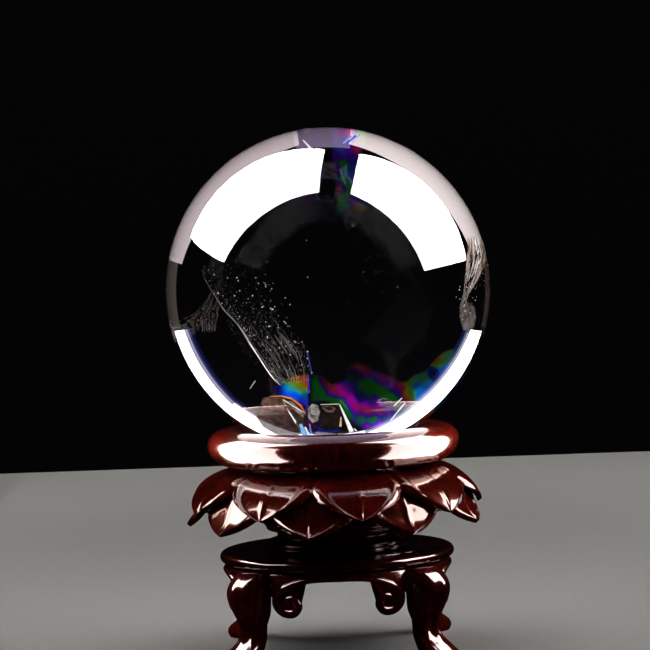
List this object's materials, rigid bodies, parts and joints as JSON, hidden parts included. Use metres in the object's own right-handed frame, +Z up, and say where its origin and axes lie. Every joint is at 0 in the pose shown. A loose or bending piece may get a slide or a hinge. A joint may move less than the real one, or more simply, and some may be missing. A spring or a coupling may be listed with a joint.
{
  "type": "quartz sphere on a carved stand",
  "caption": "Polished clear rock-crystal ball resting in the rolled ring of a red-brown lacquered wooden stand with lotus petals and cabriole legs.",
  "frame": {"origin": "on the table, under the middle of the stand, level with the flat undersides of the feet", "axes": "+Z up through the middle of the stand and the ball, -Y towards the picture's viewer, +X to that viewer's right"},
  "size_m": [0.08, 0.08, 0.1294],
  "materials": {
    "clear_quartz": "mirror polished, clear, with inclusions",
    "lacquered_rosewood": "carved, glossy lacquer",
    "dark_lacquered_rosewood": "turned, glossy lacquer"
  },
  "bodies": {
    "root": {"quartz_sphere": "clear_quartz", "ring_seat": "lacquered_rosewood", "lotus_collar": "lacquered_rosewood", "waist": "dark_lacquered_rosewood", "shoulder_board": "dark_lacquered_rosewood", "apron_front": "lacquered_rosewood", "apron_right": "lacquered_rosewood", "apron_back": "lacquered_rosewood", "apron_left": "lacquered_rosewood", "leg_front_left": "lacquered_rosewood", "leg_front_right": "lacquered_rosewood", "leg_back_left": "lacquered_rosewood", "leg_back_right": "lacquered_rosewood"}
  },
  "joints": []
}
